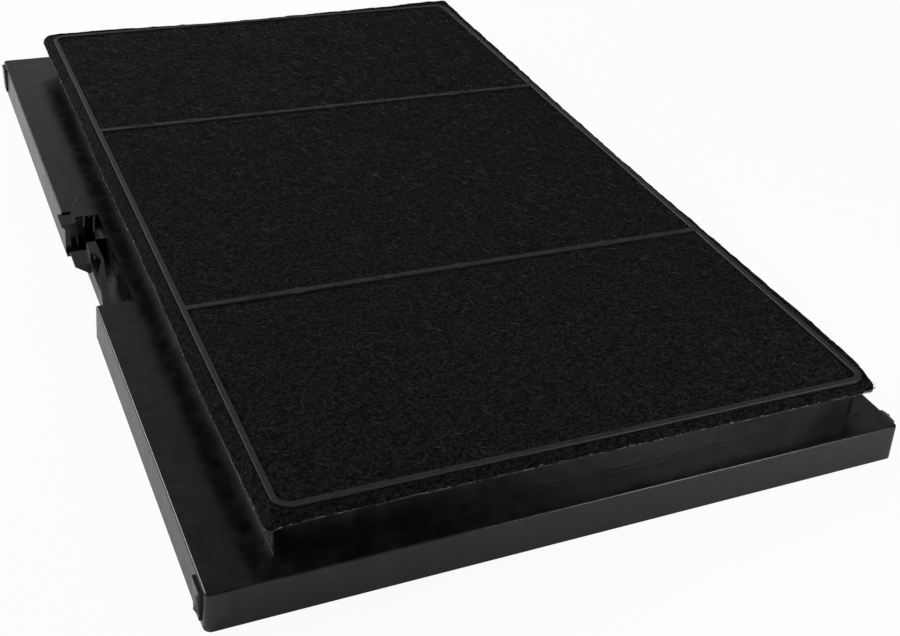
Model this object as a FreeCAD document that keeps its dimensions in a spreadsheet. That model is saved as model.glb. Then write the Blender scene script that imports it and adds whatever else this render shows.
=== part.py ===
import FreeCAD, Part

import os

import Sketcher

# Carbon filter for a cooker hood: a moulded tray with a raised open plinth, a mat of carbon felt
# clamped on the plinth by a flat grid whose pins pass through the felt, and a sprung latch tongue
# in a recess of the left long side. Millimetres; +Z up, +Y along the long side, origin at the
# middle of the tray's base.

SIZES = [
    ("tray_length", 460.0, "long side of the tray, at the deck"),
    ("tray_width", 286.0, "short side of the tray, at the deck"),
    ("tray_height", 16.0, "top of the deck above the base"),
    ("tray_wall", 2.0, "thickness of deck and skirt"),
    ("tray_corner", 2.0, "radius of the tray's four corners"),
    ("hollow_corner", 0.6, "inner radius of the tray's corners, under the deck"),
    ("skirt_flare", 0.9, "how far the foot of the skirt stands out past its top"),
    ("edge_round", 0.8, "rounding of the deck's outer edge"),
    ("left_margin", 27.85, "deck left of the plinth, wide for the latch"),
    ("right_margin", 11.35, "deck right of the plinth"),
    ("end_margin", 13.25, "deck between the plinth and each short side"),
    ("plinth_rise", 11.8, "top of the plinth wall above the deck"),
    ("plinth_wall", 2.2, "thickness of the plinth wall"),
    ("plinth_corner", 5.0, "outer radius of the plinth's corners"),
    ("step_rise", 0.8, "square step at the foot of the plinth"),
    ("step_out", 1.2, "how far the step stands out from the plinth"),
    ("near_cell", 128.65, "middle of the near band to middle of the near rib"),
    ("middle_cell", 175.6, "near rib to far rib"),
    ("cross_wall", 2.2, "thickness of the two cross walls under the ribs"),
    ("cross_wall_depth", 18.0, "height of the cross walls"),
    ("bar_width", 2.0, "thickness of the long support bars"),
    ("bar_depth", 6.0, "height of the long support bars"),
    ("bar_spacing", 73.5, "distance between support bars, and between pins"),
    ("boss_diameter", 6.6, "round boss under each pin"),
    ("boss_depth", 9.0, "height of the bosses"),
    ("mat_thickness", 4.0, "felt where it is clamped"),
    ("left_overhang", 4.7, "felt past the plinth wall, on the latch side"),
    ("right_overhang", 4.4, "felt past the plinth wall, opposite the latch"),
    ("near_overhang", 2.3, "felt past the plinth wall, at the near end"),
    ("far_overhang", 4.2, "felt past the plinth wall, at the far end"),
    ("mat_corner", 6.0, "radius of the felt's corners"),
    ("mat_edge", 1.3, "rounding of the felt's upper edge"),
    ("band_width", 3.5, "flat band round the felt"),
    ("band_height", 1.0, "thickness of the band and the ribs"),
    ("band_corner", 8.0, "outer radius of the band's corners"),
    ("rib_width", 3.2, "width of the two cross ribs"),
    ("pad_diameter", 7.2, "flat head over each pin"),
    ("pad_height", 1.2, "thickness of the heads"),
    ("pin_diameter", 4.0, "pin through the felt"),
    ("pin_clearance", 0.3, "gap between pin and felt"),
    ("notch_near", 182.3, "near end of the latch recess, from the tray's near end"),
    ("notch_length", 79.7, "length of the latch recess"),
    ("notch_depth", 16.3, "depth of the recess, from the tray's left edge"),
    ("notch_floor", 1.2, "thickness of the recess floor"),
    ("floor_edge", 7.0, "where the recess floor begins, from the left edge"),
    ("skirt_stub", 4.4, "skirt left standing at the far end of the recess"),
    ("slot_bridge", 4.0, "recess floor between the arm's slot and the fixed hook"),
    ("hook_length", 10.6, "length of the fixed hook and of its shelf"),
    ("hook_out", 1.9, "how far the fixed hook stands out past the deck's edge"),
    ("hook_drop", 0.8, "top of the fixed hook below the deck"),
    ("hook_slope", 3.4, "height of the fixed hook's sloping underside"),
    ("shelf_width", 5.4, "width of the shelf behind the fixed hook"),
    ("fin_thickness", 0.9, "thin walls at the far end of the recess"),
    ("fin_lean", 3.4, "how far the inner slanting fin leans towards the arm"),
    ("outer_fin", 10.3, "root of the outer slanting fin, from the left edge"),
    ("outer_fin_length", 10.0, "length of the outer slanting fin"),
    ("inner_fin_length", 16.0, "length of the inner slanting fin"),
    ("inner_fin_gap", 1.2, "root of the inner slanting fin, from the recess wall"),
    ("web_drop", 4.3, "top of the web behind the inner fin below the deck"),
    ("web_thickness", 1.2, "thickness of that web"),
    ("lug_length", 8.0, "length of the four locating lugs"),
    ("lug_inset", 8.0, "middle of a lug from the tray's short side"),
    ("lug_out", 1.6, "how far a lug stands out past the deck's edge"),
    ("lug_foot", 1.5, "underside of the lugs above the base"),
    ("lug_gap", 0.9, "top of the lugs below the deck"),
    ("arm_inner", 5.8, "inner face of the latch arm at its root, from the left edge"),
    ("arm_root", 2.9, "thickness of the latch arm at its root"),
    ("arm_foot", 1.8, "underside of the latch arm above the base"),
    ("arm_bend", 27.3, "where the arm's outer face turns to the block, from the root"),
    ("bend_out", 6.45, "outer face of the arm at that bend, from the left edge"),
    ("sill_out", 4.95, "outer face of the low wall behind the catch, from the left edge"),
    ("sill_wall", 1.6, "thickness of that low wall"),
    ("block_far", 54.9, "far face of the latch block, from the arm's root"),
    ("block_length", 16.7, "length of the latch block's top"),
    ("block_out", 6.1, "outer face of the latch block, from the left edge"),
    ("block_inner", 10.8, "inner face of the latch block, from the left edge"),
    ("block_foot", 6.0, "underside of the latch block above the base"),
    ("block_wall", 1.1, "thin walls of the latch block"),
    ("block_narrowing", 0.5, "how much slimmer the block is at its far end"),
    ("block_seat", 9.2, "length of the block's outer wall"),
    ("gusset_drop", 5.0, "top of the block's sunken floor below the deck"),
    ("catch_length", 12.7, "length of the snap catch"),
    ("catch_out", 1.6, "how far the snap catch stands out past the deck's edge"),
    ("catch_drop", 4.0, "top of the snap catch below the deck"),
    ("catch_face", 0.8, "upright tip of both hooks"),
    ("catch_slope", 5.2, "height of the snap catch's sloping underside"),
]

doc = FreeCAD.newDocument("hood_filter")
sizes = doc.addObject("Spreadsheet::Sheet", "sizes")
for row, (alias, size, meaning) in enumerate(SIZES, start=1):
    sizes.set(f"A{row}", meaning)
    sizes.set(f"B{row}", str(size))
    sizes.setAlias(f"B{row}", alias)
doc.recompute()

# Places that several pieces share, as expressions of the driving sizes

LEFT = "(-sizes.tray_width / 2)"
RIGHT = "(sizes.tray_width / 2)"
NEAR = "(-sizes.tray_length / 2)"
FAR = "(sizes.tray_length / 2)"
DECK = "sizes.tray_height"
PLINTH_TOP = "(sizes.tray_height + sizes.plinth_rise)"
MAT_TOP = "(sizes.tray_height + sizes.plinth_rise + sizes.mat_thickness)"
PLINTH_LEFT = f"({LEFT} + sizes.left_margin)"
PLINTH_RIGHT = f"({RIGHT} - sizes.right_margin)"
PLINTH_NEAR = f"({NEAR} + sizes.end_margin)"
PLINTH_FAR = f"({FAR} - sizes.end_margin)"
MIDDLE = f"(({PLINTH_LEFT} + {PLINTH_RIGHT}) / 2)"
NEAR_RIB = f"({PLINTH_NEAR} + sizes.band_width / 2 + sizes.near_cell)"
FAR_RIB = f"({NEAR_RIB} + sizes.middle_cell)"
NOTCH_NEAR = f"({NEAR} + sizes.notch_near)"
NOTCH_FAR = f"({NOTCH_NEAR} + sizes.notch_length)"
NOTCH_INNER = f"({LEFT} + sizes.notch_depth)"
STUB_END = f"({NOTCH_FAR} - sizes.skirt_stub)"
OUTSIDE = f"({LEFT} - sizes.skirt_flare - sizes.tray_wall)"
ARM_INNER = f"({LEFT} + sizes.arm_inner)"
ARM_OUTER = f"({ARM_INNER} - sizes.arm_root)"
BLOCK_FAR = f"({NOTCH_NEAR} + sizes.block_far)"
BLOCK_NEAR = f"({BLOCK_FAR} - sizes.block_length)"
BLOCK_OUTER = f"({LEFT} + sizes.block_out)"
BLOCK_INNER = f"({LEFT} + sizes.block_inner)"
BEND = f"({NOTCH_NEAR} + sizes.arm_bend)"
BEND_OUTER = f"({LEFT} + sizes.bend_out)"
BEND_INNER = (f"({ARM_INNER} + ({BLOCK_INNER} - {ARM_INNER}) * sizes.arm_bend"
              " / (sizes.block_far - sizes.block_length))")
SILL_OUTER = f"({LEFT} + sizes.sill_out)"
SILL_INNER = f"({SILL_OUTER} + sizes.sill_wall)"
CATCH_TOP = "(sizes.tray_height - sizes.catch_drop)"
PIN_COLUMNS = [f"({MIDDLE} + {step} * sizes.bar_spacing)" for step in (-1, 0, 1)]


def number(expression):
    """The present value of an expression, to start a sketch close to its solution."""
    result = sizes.evalExpression(expression)
    return float(getattr(result, "Value", result))


def new_body(name):
    body = doc.addObject("PartDesign::Body", name)
    body.Label = name
    return body


def new_sketch(body, name, height="0", role="XY_Plane"):
    """A sketch on one of the body's own planes, moved along the plane's normal."""
    sketch = body.newObject("Sketcher::SketchObject", name)
    plane = next(item for item in body.Origin.OriginFeatures if item.Role == role)
    sketch.AttachmentSupport = [(plane, "")]
    sketch.MapMode = "FlatFace"
    sketch.setExpression("AttachmentOffset.Base.z", height)
    return sketch


def hold(sketch, kind, geometry, point, expression):
    """Dimensions one coordinate of a point from the sketch's origin."""
    rule = Sketcher.Constraint(kind, -1, 1, geometry, point, number(expression))
    index = sketch.addConstraint(rule)
    sketch.setExpression(f"Constraints[{index}]", expression)


def polygon(sketch, corners):
    """A closed outline whose corners are pairs of expressions."""
    points = [FreeCAD.Vector(number(x), number(y), 0) for x, y in corners]
    lines = []
    for here, there in zip(points, points[1:] + points[:1]):
        lines.append(sketch.addGeometry(Part.LineSegment(here, there)))
    for line, following in zip(lines, lines[1:] + lines[:1]):
        sketch.addConstraint(Sketcher.Constraint("Coincident", line, 2, following, 1))
    for line, (x, y) in zip(lines, corners):
        hold(sketch, "DistanceX", line, 1, x)
        hold(sketch, "DistanceY", line, 1, y)


def rectangle(sketch, left, right, low, high):
    polygon(sketch, [(left, low), (right, low), (right, high), (left, high)])


def rounded_rectangle(sketch, left, right, low, high, radius):
    """A rectangle with four equal corner arcs, each tangent to its sides."""
    x0, x1, y0, y1, r = [number(item) for item in (left, right, low, high, radius)]
    ends = [
        ((x0 + r, y0), (x1 - r, y0), (x1 - r, y0 + r), -90),
        ((x1, y0 + r), (x1, y1 - r), (x1 - r, y1 - r), 0),
        ((x1 - r, y1), (x0 + r, y1), (x0 + r, y1 - r), 90),
        ((x0, y1 - r), (x0, y0 + r), (x0 + r, y0 + r), 180),
    ]
    sides = []
    arcs = []
    for start, end, centre, angle in ends:
        side = Part.LineSegment(FreeCAD.Vector(*start, 0), FreeCAD.Vector(*end, 0))
        sides.append(sketch.addGeometry(side))
        circle = Part.Circle(FreeCAD.Vector(*centre, 0), FreeCAD.Vector(0, 0, 1), r)
        turn = FreeCAD.Units.Quantity(angle, FreeCAD.Units.Angle).getValueAs("rad").Value
        quarter = FreeCAD.Units.Quantity(90, FreeCAD.Units.Angle).getValueAs("rad").Value
        arcs.append(sketch.addGeometry(Part.ArcOfCircle(circle, turn, turn + quarter)))
    for index in range(4):
        following = sides[(index + 1) % 4]
        sketch.addConstraint(Sketcher.Constraint("Tangent", sides[index], 2, arcs[index], 1))
        sketch.addConstraint(Sketcher.Constraint("Tangent", arcs[index], 2, following, 1))
    for arc in arcs[1:]:
        sketch.addConstraint(Sketcher.Constraint("Equal", arcs[0], arc))
    sketch.addConstraint(Sketcher.Constraint("Horizontal", sides[0]))
    sketch.addConstraint(Sketcher.Constraint("Vertical", sides[1]))
    sketch.addConstraint(Sketcher.Constraint("Horizontal", sides[2]))
    sketch.addConstraint(Sketcher.Constraint("Vertical", sides[3]))
    index = sketch.addConstraint(Sketcher.Constraint("Radius", arcs[0], r))
    sketch.setExpression(f"Constraints[{index}]", radius)
    hold(sketch, "DistanceY", sides[0], 1, low)
    hold(sketch, "DistanceX", sides[1], 1, right)
    hold(sketch, "DistanceY", sides[2], 1, high)
    hold(sketch, "DistanceX", sides[3], 1, left)


def circle(sketch, x, y, diameter):
    centre = FreeCAD.Vector(number(x), number(y), 0)
    normal = FreeCAD.Vector(0, 0, 1)
    ring = sketch.addGeometry(Part.Circle(centre, normal, number(diameter) / 2))
    index = sketch.addConstraint(Sketcher.Constraint("Diameter", ring, number(diameter)))
    sketch.setExpression(f"Constraints[{index}]", diameter)
    hold(sketch, "DistanceX", ring, 3, x)
    hold(sketch, "DistanceY", ring, 3, y)


def pin_circles(sketch, diameter):
    """One circle at each crossing of a cross rib and a support bar."""
    for column in PIN_COLUMNS:
        for rib in (NEAR_RIB, FAR_RIB):
            circle(sketch, column, rib, diameter)


def pad(body, name, sketch, length, reverse=False, taper=None):
    feature = body.newObject("PartDesign::Pad", name)
    feature.Profile = sketch
    feature.setExpression("Length", length)
    feature.Reversed = reverse
    if taper:
        feature.setExpression("TaperAngle", taper)
    doc.recompute()
    return feature


def pocket(body, name, sketch, length, upward=False, taper=None):
    """Cuts below the sketch, or above it; a pocket that takes nothing away is an error."""
    before = body.Shape.Volume
    feature = body.newObject("PartDesign::Pocket", name)
    feature.Profile = sketch
    feature.setExpression("Length", length)
    feature.Reversed = upward
    if taper:
        feature.setExpression("TaperAngle", taper)
    doc.recompute()
    if body.Shape.Volume >= before:
        raise RuntimeError(f"{name} cut nothing")
    return feature


def fillet_at(body, name, base, height, radius):
    """Rounds the whole outer rim of a body at one height."""
    level = number(height)
    rim = []
    for index, edge in enumerate(base.Shape.Edges, start=1):
        box = edge.BoundBox
        if abs(box.ZMin - level) < 1e-6 and abs(box.ZMax - level) < 1e-6:
            rim.append(f"Edge{index}")
    feature = body.newObject("PartDesign::Fillet", name)
    feature.Base = (base, rim)
    feature.setExpression("Radius", radius)
    doc.recompute()
    return feature


def tray_shell(body):
    """Deck and drafted skirt, open below."""
    draft = "-atan(sizes.skirt_flare / sizes.tray_height)"
    flare = "sizes.skirt_flare"
    foot = new_sketch(body, "skirt_foot")
    rounded_rectangle(foot, f"{LEFT} - {flare}", f"{RIGHT} + {flare}", f"{NEAR} - {flare}",
                      f"{FAR} + {flare}", f"sizes.tray_corner + {flare}")
    block = pad(body, "skirt_block", foot, DECK, taper=draft)
    fillet_at(body, "deck_edge", block, DECK, "sizes.edge_round")
    inset = "(sizes.skirt_flare - sizes.tray_wall)"
    hollow = new_sketch(body, "hollow_foot")
    rounded_rectangle(hollow, f"{LEFT} - {inset}", f"{RIGHT} + {inset}", f"{NEAR} - {inset}",
                      f"{FAR} + {inset}", "sizes.hollow_corner + sizes.skirt_flare")
    pocket(body, "hollow", hollow, "sizes.tray_height - sizes.tray_wall", upward=True, taper=draft)


def tray_plinth(body):
    """Square step and round-cornered wall that carry the felt, open through the deck."""
    out = "sizes.step_out"
    step = new_sketch(body, "step_outline", DECK)
    rectangle(step, f"{PLINTH_LEFT} - {out}", f"{PLINTH_RIGHT} + {out}",
              f"{PLINTH_NEAR} - {out}", f"{PLINTH_FAR} + {out}")
    pad(body, "step", step, "sizes.step_rise")
    wall = new_sketch(body, "plinth_outline", DECK)
    rounded_rectangle(wall, PLINTH_LEFT, PLINTH_RIGHT, PLINTH_NEAR, PLINTH_FAR,
                      "sizes.plinth_corner")
    pad(body, "plinth", wall, "sizes.plinth_rise")
    inner = "sizes.plinth_wall"
    window = new_sketch(body, "window_outline", PLINTH_TOP)
    rounded_rectangle(window, f"{PLINTH_LEFT} + {inner}", f"{PLINTH_RIGHT} - {inner}",
                      f"{PLINTH_NEAR} + {inner}", f"{PLINTH_FAR} - {inner}",
                      f"sizes.plinth_corner - {inner}")
    pocket(body, "window", window, PLINTH_TOP)


def tray_grille(body):
    """Cross walls, long bars and pin bosses that hold the felt up from below."""
    reach = "sizes.plinth_wall / 2"
    walls = new_sketch(body, "cross_wall_lines", PLINTH_TOP)
    for rib in (NEAR_RIB, FAR_RIB):
        rectangle(walls, f"{PLINTH_LEFT} + {reach}", f"{PLINTH_RIGHT} - {reach}",
                  f"{rib} - sizes.cross_wall / 2", f"{rib} + sizes.cross_wall / 2")
    pad(body, "cross_walls", walls, "sizes.cross_wall_depth", reverse=True)
    bar = new_sketch(body, "bar_line", PLINTH_TOP)
    rectangle(bar, f"{PIN_COLUMNS[0]} - sizes.bar_width / 2",
              f"{PIN_COLUMNS[0]} + sizes.bar_width / 2",
              f"{PLINTH_NEAR} + {reach}", f"{PLINTH_FAR} - {reach}")
    first = pad(body, "bar", bar, "sizes.bar_depth", reverse=True)
    row = body.newObject("PartDesign::LinearPattern", "bars")
    row.Originals = [first]
    row.Direction = (bar, ["H_Axis"])
    row.setExpression("Length", f"{len(PIN_COLUMNS) - 1} * sizes.bar_spacing")
    row.Occurrences = len(PIN_COLUMNS)
    body.Tip = row
    doc.recompute()
    bosses = new_sketch(body, "boss_circles", PLINTH_TOP)
    pin_circles(bosses, "sizes.boss_diameter")
    pad(body, "bosses", bosses, "sizes.boss_depth", reverse=True)


def tray_recess(body):
    """Walled and floored recess in the left side, where the latch stands."""
    wall = "sizes.tray_wall"
    behind_skin = f"{LEFT} + (sizes.edge_round + {wall} - sizes.skirt_flare) / 2"
    walls = new_sketch(body, "recess_walls")
    rectangle(walls, behind_skin, f"{NOTCH_INNER} + {wall}", f"{NOTCH_NEAR} - {wall}",
              f"{NOTCH_FAR} + {wall}")
    pad(body, "recess_block", walls, DECK)
    stub_inner = f"{LEFT} + {wall}"
    recess = new_sketch(body, "recess_outline", DECK)
    polygon(recess, [
        (OUTSIDE, NOTCH_NEAR),
        (NOTCH_INNER, NOTCH_NEAR),
        (NOTCH_INNER, NOTCH_FAR),
        (stub_inner, NOTCH_FAR),
        (stub_inner, STUB_END),
        (OUTSIDE, STUB_END),
    ])
    pocket(body, "recess", recess, "sizes.tray_height - sizes.notch_floor")
    slot = new_sketch(body, "arm_slot_outline")
    rectangle(slot, OUTSIDE, f"{LEFT} + sizes.floor_edge", NOTCH_NEAR,
              f"{STUB_END} - sizes.slot_bridge")
    pocket(body, "arm_slot", slot, "2 * sizes.notch_floor", upward=True)


def tray_fixed_hook(body):
    """Shelf and wedge-shaped hook at the far end of the recess, with a thin fin beside them."""
    shelf_top = "(sizes.tray_height - sizes.hook_drop)"
    hook_far = f"({STUB_END} + sizes.hook_length)"
    shelf_inner = f"({LEFT} + sizes.shelf_width)"
    shelf = new_sketch(body, "shelf_outline", shelf_top)
    rectangle(shelf, f"{LEFT} + sizes.tray_wall / 2", shelf_inner, STUB_END, hook_far)
    pad(body, "shelf", shelf, "sizes.tray_wall", reverse=True)
    step = new_sketch(body, "shelf_step_outline", DECK)
    rectangle(step, OUTSIDE, f"{shelf_inner} - sizes.fin_thickness",
              f"{STUB_END} - sizes.tray_wall", hook_far)
    pocket(body, "shelf_step", step, "sizes.hook_drop")
    wedge = new_sketch(body, "fixed_hook_outline", f"-({STUB_END})", role="XZ_Plane")
    polygon(wedge, [
        (f"{LEFT} + sizes.tray_wall / 2", shelf_top),
        (f"{LEFT} - sizes.hook_out", shelf_top),
        (f"{LEFT} - sizes.hook_out", f"{shelf_top} - sizes.catch_face"),
        (f"{LEFT} + sizes.tray_wall / 2", f"{shelf_top} - sizes.catch_face - sizes.hook_slope"),
    ])
    pad(body, "fixed_hook", wedge, "sizes.hook_length", reverse=True)
    fin = new_sketch(body, "fin_outline", "sizes.notch_floor / 2")
    rectangle(fin, f"{shelf_inner} - sizes.fin_thickness", shelf_inner, STUB_END,
              f"{NOTCH_FAR} + sizes.tray_wall / 2")
    pad(body, "fin", fin, "sizes.tray_height - sizes.notch_floor / 2")


def tray_channel(body):
    """Two slanting fins and a sunken web that guard the far corner of the recess."""
    thin = "sizes.fin_thickness"
    root = f"{NOTCH_FAR} + sizes.tray_wall / 2"
    inner_x = f"({NOTCH_INNER} - sizes.inner_fin_gap)"
    inner_end = f"({NOTCH_FAR} - sizes.inner_fin_length)"
    inner_lean = "sizes.fin_lean"
    outer_x = f"({LEFT} + sizes.outer_fin)"
    outer_end = f"({NOTCH_FAR} - sizes.outer_fin_length)"
    outer_lean = "(sizes.fin_lean * sizes.outer_fin_length / sizes.inner_fin_length)"
    fins = new_sketch(body, "channel_outline", "sizes.notch_floor / 2")
    for x, end, lean in ((outer_x, outer_end, outer_lean), (inner_x, inner_end, inner_lean)):
        polygon(fins, [
            (f"{x} - {thin}", root),
            (f"{x} - {thin} - {lean}", end),
            (f"{x} - {lean}", end),
            (x, root),
        ])
    pad(body, "channel", fins, "sizes.tray_height - sizes.notch_floor / 2")
    buried = f"{NOTCH_INNER} + sizes.tray_wall / 2"
    web = new_sketch(body, "web_outline", f"{DECK} - sizes.web_drop")
    polygon(web, [
        (buried, root),
        (f"{inner_x} - {thin} / 2", root),
        (f"{inner_x} - {thin} / 2 - {inner_lean}", inner_end),
        (buried, inner_end),
    ])
    pad(body, "web", web, "sizes.web_thickness", reverse=True)


def tray_lugs(body):
    """Four low lugs on the long sides, close to the corners, that locate the tray."""
    inside = "sizes.tray_wall / 2"
    lugs = new_sketch(body, "lug_outlines", "sizes.lug_foot")
    for middle in (f"({NEAR} + sizes.lug_inset)", f"({FAR} - sizes.lug_inset)"):
        near_end = f"{middle} - sizes.lug_length / 2"
        far_end = f"{middle} + sizes.lug_length / 2"
        rectangle(lugs, f"{LEFT} - sizes.lug_out", f"{LEFT} + {inside}", near_end, far_end)
        rectangle(lugs, f"{RIGHT} - {inside}", f"{RIGHT} + sizes.lug_out", near_end, far_end)
    pad(body, "lugs", lugs, "sizes.tray_height - sizes.lug_gap - sizes.lug_foot")


def make_tray():
    body = new_body("tray")
    tray_shell(body)
    tray_plinth(body)
    tray_grille(body)
    tray_recess(body)
    tray_fixed_hook(body)
    tray_channel(body)
    tray_lugs(body)
    return body


def make_carbon_mat():
    """Felt slab on the plinth wall, with a hole for each pin."""
    body = new_body("carbon_mat")
    outline = new_sketch(body, "mat_outline", PLINTH_TOP)
    rounded_rectangle(outline, f"{PLINTH_LEFT} - sizes.left_overhang",
                      f"{PLINTH_RIGHT} + sizes.right_overhang",
                      f"{PLINTH_NEAR} - sizes.near_overhang",
                      f"{PLINTH_FAR} + sizes.far_overhang", "sizes.mat_corner")
    slab = pad(body, "felt", outline, "sizes.mat_thickness")
    fillet_at(body, "felt_edge", slab, MAT_TOP, "sizes.mat_edge")
    holes = new_sketch(body, "pin_hole_circles", MAT_TOP)
    pin_circles(holes, "sizes.pin_diameter + 2 * sizes.pin_clearance")
    pocket(body, "pin_holes", holes, "sizes.mat_thickness")
    return body


def make_mat_grid():
    """Flat band round the felt, two cross ribs, and the pins with their heads."""
    body = new_body("mat_grid")
    width = "sizes.band_width"
    band = new_sketch(body, "band_outline", MAT_TOP)
    rounded_rectangle(band, PLINTH_LEFT, PLINTH_RIGHT, PLINTH_NEAR, PLINTH_FAR,
                      "sizes.band_corner")
    rounded_rectangle(band, f"{PLINTH_LEFT} + {width}", f"{PLINTH_RIGHT} - {width}",
                      f"{PLINTH_NEAR} + {width}", f"{PLINTH_FAR} - {width}",
                      f"sizes.band_corner - {width}")
    pad(body, "band", band, "sizes.band_height")
    ribs = new_sketch(body, "rib_outlines", MAT_TOP)
    for rib in (NEAR_RIB, FAR_RIB):
        rectangle(ribs, f"{PLINTH_LEFT} + {width} / 2", f"{PLINTH_RIGHT} - {width} / 2",
                  f"{rib} - sizes.rib_width / 2", f"{rib} + sizes.rib_width / 2")
    pad(body, "ribs", ribs, "sizes.band_height")
    heads = new_sketch(body, "head_circles", MAT_TOP)
    pin_circles(heads, "sizes.pad_diameter")
    pad(body, "heads", heads, "sizes.pad_height")
    pins = new_sketch(body, "pin_circles", MAT_TOP)
    pin_circles(pins, "sizes.pin_diameter")
    pad(body, "pins", pins, "sizes.mat_thickness", reverse=True)
    return body


def make_release_latch():
    """Sprung tongue: a slanting arm from the recess wall to a hollow block with a snap catch."""
    body = new_body("release_latch")
    arm = new_sketch(body, "arm_outline", "sizes.arm_foot")
    polygon(arm, [
        (ARM_OUTER, NOTCH_NEAR),
        (BEND_OUTER, BEND),
        (BEND_INNER, BEND),
        (ARM_INNER, NOTCH_NEAR),
    ])
    pad(body, "arm", arm, "sizes.tray_height - sizes.arm_foot")
    sill_near = (f"({NOTCH_NEAR} + sizes.arm_bend * ({SILL_OUTER} - {ARM_OUTER})"
                 f" / ({BEND_OUTER} - {ARM_OUTER}))")
    sill = new_sketch(body, "sill_outline", "sizes.arm_foot")
    rectangle(sill, SILL_OUTER, SILL_INNER, sill_near, BLOCK_FAR)
    pad(body, "sill", sill, f"{CATCH_TOP} - sizes.arm_foot")
    wall = "sizes.block_wall"
    shoulder = f"({BLOCK_FAR} - sizes.block_seat)"
    far_inner = f"({BLOCK_INNER} - sizes.block_narrowing)"
    plate = new_sketch(body, "block_top_outline", DECK)
    polygon(plate, [
        (BLOCK_OUTER, BLOCK_FAR),
        (far_inner, BLOCK_FAR),
        (BLOCK_INNER, BLOCK_NEAR),
        (BLOCK_OUTER, shoulder),
    ])
    pad(body, "block_top", plate, wall, reverse=True)
    gusset = new_sketch(body, "gusset_outline", f"{DECK} - sizes.gusset_drop")
    inside_sill = f"({SILL_INNER} - sizes.sill_wall / 2)"
    polygon(gusset, [
        (inside_sill, BLOCK_FAR),
        (f"{far_inner} - {wall} / 2", BLOCK_FAR),
        (f"{BLOCK_INNER} - {wall} / 2", BLOCK_NEAR),
        (BEND_INNER, BEND),
        (inside_sill, BEND),
    ])
    pad(body, "gusset", gusset, wall, reverse=True)
    walls = new_sketch(body, "block_wall_outline", "sizes.block_foot")
    polygon(walls, [
        (far_inner, BLOCK_FAR),
        (BLOCK_INNER, BLOCK_NEAR),
        (BEND_INNER, BEND),
        (BEND_OUTER, BEND),
        (f"{BLOCK_INNER} - {wall}", BLOCK_NEAR),
        (f"{far_inner} - {wall}", BLOCK_FAR),
    ])
    rectangle(walls, BLOCK_OUTER, f"{BLOCK_OUTER} + {wall}", shoulder, BLOCK_FAR)
    pad(body, "block_walls", walls, "sizes.tray_height - sizes.block_foot")
    catch = new_sketch(body, "catch_outline", f"-({BLOCK_FAR})", role="XZ_Plane")
    polygon(catch, [
        (inside_sill, CATCH_TOP),
        (f"{LEFT} - sizes.catch_out", CATCH_TOP),
        (f"{LEFT} - sizes.catch_out", f"{CATCH_TOP} - sizes.catch_face"),
        (inside_sill, f"{CATCH_TOP} - sizes.catch_face - sizes.catch_slope"),
    ])
    pad(body, "catch", catch, "sizes.catch_length")
    return body


pieces = [make_tray(), make_carbon_mat(), make_mat_grid(), make_release_latch()]
doc.recompute()

for item in doc.Objects:
    if "Invalid" in item.State or "Error" in item.State:
        raise RuntimeError(f"{item.Label} failed: {item.State}")

os.makedirs("parts", exist_ok=True)
for body in pieces:
    shape = body.Shape
    if shape.isNull() or not shape.isValid() or len(shape.Solids) != 1:
        raise RuntimeError(f"{body.Label} is not one sound solid")
    box = shape.BoundBox
    print(f"{body.Label}: {shape.Volume / 1000:.2f} cm3, x {box.XMin:.2f}..{box.XMax:.2f}, "
          f"y {box.YMin:.2f}..{box.YMax:.2f}, z {box.ZMin:.2f}..{box.ZMax:.2f}")
    shape.exportStep(f"parts/{body.Label}.step")
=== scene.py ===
"""Carbon filter for a cooker hood: felt under a thin grid, loose fibres, moulded black plastic,
floor and light."""

import math

import bpy
import numpy as np
from mathutils import Matrix, Vector
from mathutils.geometry import delaunay_2d_cdt


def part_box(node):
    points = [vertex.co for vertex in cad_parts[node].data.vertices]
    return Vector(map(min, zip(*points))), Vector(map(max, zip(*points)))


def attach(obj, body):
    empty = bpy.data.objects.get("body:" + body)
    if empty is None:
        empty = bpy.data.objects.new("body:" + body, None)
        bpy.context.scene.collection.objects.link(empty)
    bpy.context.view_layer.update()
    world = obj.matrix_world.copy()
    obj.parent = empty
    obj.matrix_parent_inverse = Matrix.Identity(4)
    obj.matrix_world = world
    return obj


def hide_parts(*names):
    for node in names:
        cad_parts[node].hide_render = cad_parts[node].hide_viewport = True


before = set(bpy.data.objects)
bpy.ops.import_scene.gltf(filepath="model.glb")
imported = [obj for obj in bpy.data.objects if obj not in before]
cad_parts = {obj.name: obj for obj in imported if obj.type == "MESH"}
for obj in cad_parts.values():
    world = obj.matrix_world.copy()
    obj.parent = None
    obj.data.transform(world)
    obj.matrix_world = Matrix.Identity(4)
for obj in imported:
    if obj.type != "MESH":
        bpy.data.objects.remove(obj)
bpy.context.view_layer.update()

MM = 0.001

# Where the tray, the grid and the felt are, in millimetres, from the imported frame

tray_low = np.array(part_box("tray")[0]) / MM
grid_low, grid_high = [np.array(corner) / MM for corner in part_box("mat_grid")]
mat_low, mat_high = [np.array(corner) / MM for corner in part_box("carbon_mat")]

# The grid as it lies on the felt, in millimetres, before it is warped

BAND_LOW = np.array([-115.0, -215.9])
BAND_HIGH = np.array([132.9, 218.6])
BAND_WIDTH = 2.8
LEFT_BAND_NARROWER = 0.4
BAND_CORNER = 7.0
WINDOW_CORNER = 0.9
BAND_TOP = grid_high[2]
RIB_WIDTH = 3.0
NEAR_RIB = -86.9
FAR_RIB = 86.65
RIBS = (NEAR_RIB, FAR_RIB)
PIN_SPACING = 73.5
PIN_COLUMNS = [(grid_low[0] + grid_high[0]) / 2 + step for step in (-PIN_SPACING, 0, PIN_SPACING)]
PIN_HEAD = 2.5

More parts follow.
